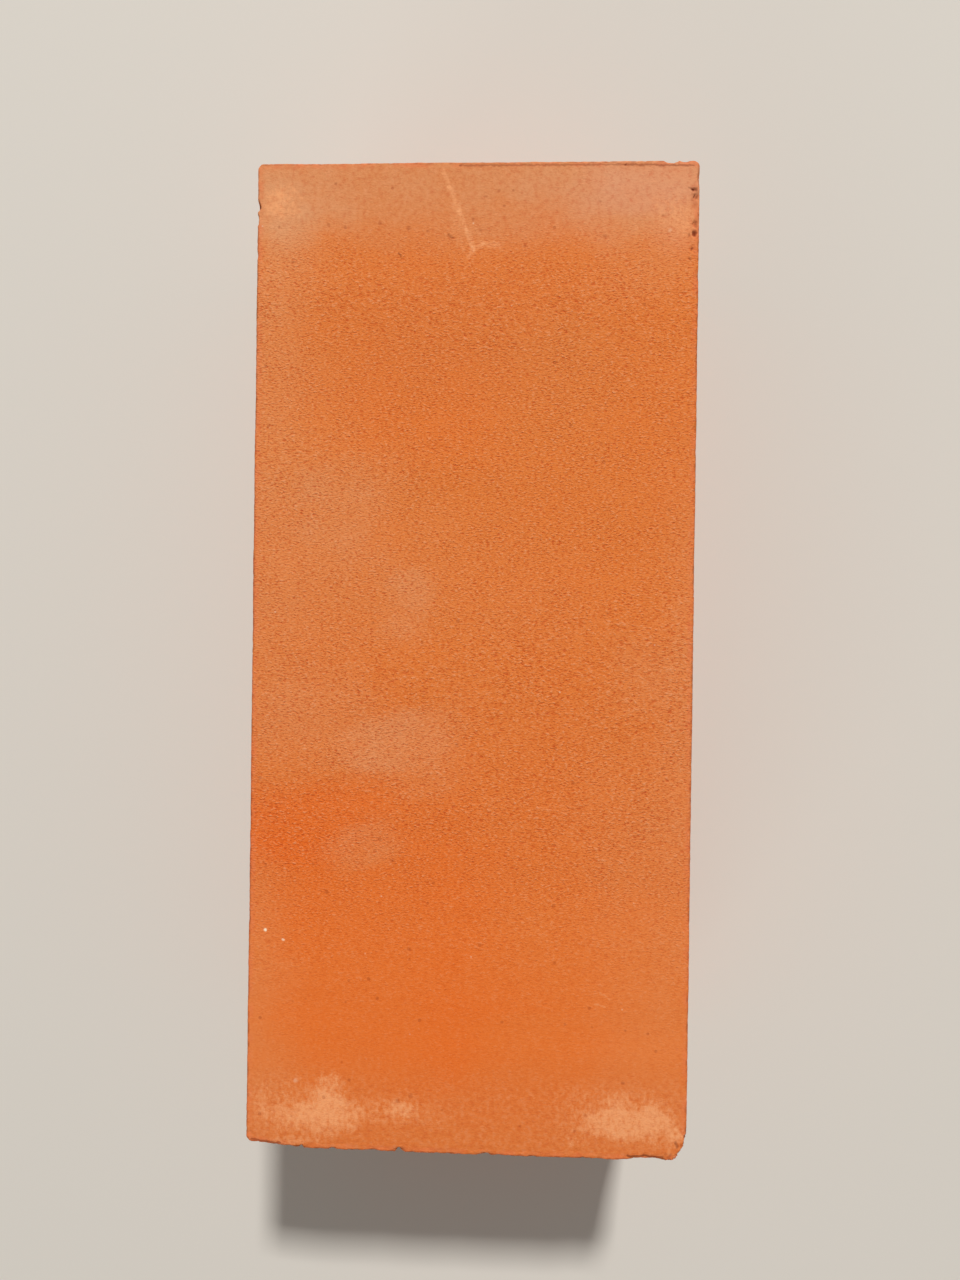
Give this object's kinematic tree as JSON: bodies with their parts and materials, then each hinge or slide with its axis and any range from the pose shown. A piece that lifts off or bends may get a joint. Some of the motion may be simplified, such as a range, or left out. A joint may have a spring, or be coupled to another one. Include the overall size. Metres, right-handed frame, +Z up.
{
  "type": "clay brick",
  "caption": "Solid wire-cut facing brick of plain orange fired clay, with flat beds, no frog or holes, and a corner knocked off",
  "frame": {"origin": "centre of the bed face that the brick lies on", "axes": "+X along the length, from the end with the broken corner to the whole end; +Y across the width, away from the side of the broken corner; +Z up, from the bed face that the brick lies on to the other"},
  "size_m": [0.229, 0.102, 0.076],
  "materials": {
    "fired_clay": "matte"
  },
  "bodies": {
    "root": {"brick": "fired_clay"}
  },
  "joints": []
}
